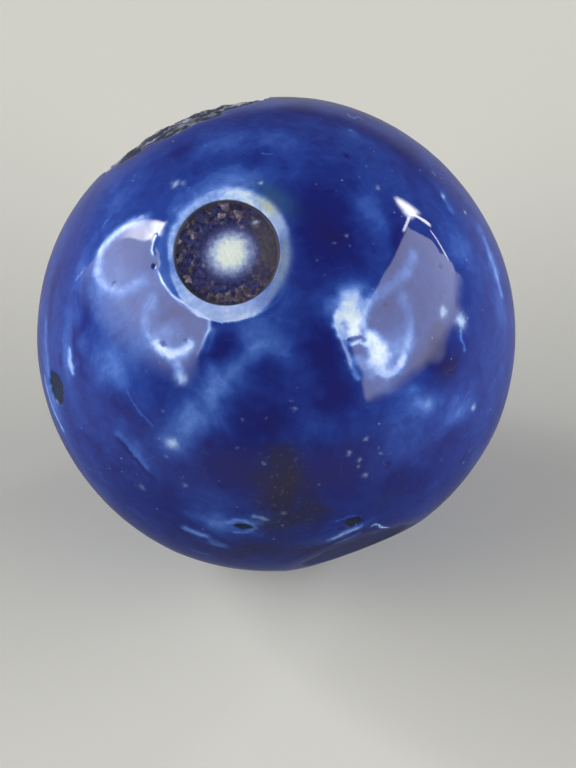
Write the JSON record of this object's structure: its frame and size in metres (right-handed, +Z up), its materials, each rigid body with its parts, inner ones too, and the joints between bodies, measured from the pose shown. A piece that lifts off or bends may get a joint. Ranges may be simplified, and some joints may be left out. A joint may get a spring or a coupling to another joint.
{
  "type": "clay marble",
  "caption": "Hand-rolled clay marble in glossy mottled cobalt glaze, with round scars where it touched its neighbours in the kiln.",
  "frame": {"origin": "middle of the ball", "axes": "+Z up as the ball sits in a stand, -Y towards the viewer and +X to the viewer's right"},
  "size_m": [0.027, 0.0269, 0.027],
  "materials": {
    "cobalt_glaze": "gloss, mottled cobalt over pale clay, rough dark glass in the kiln scars"
  },
  "bodies": {
    "root": {"marble": "cobalt_glaze"}
  },
  "joints": []
}
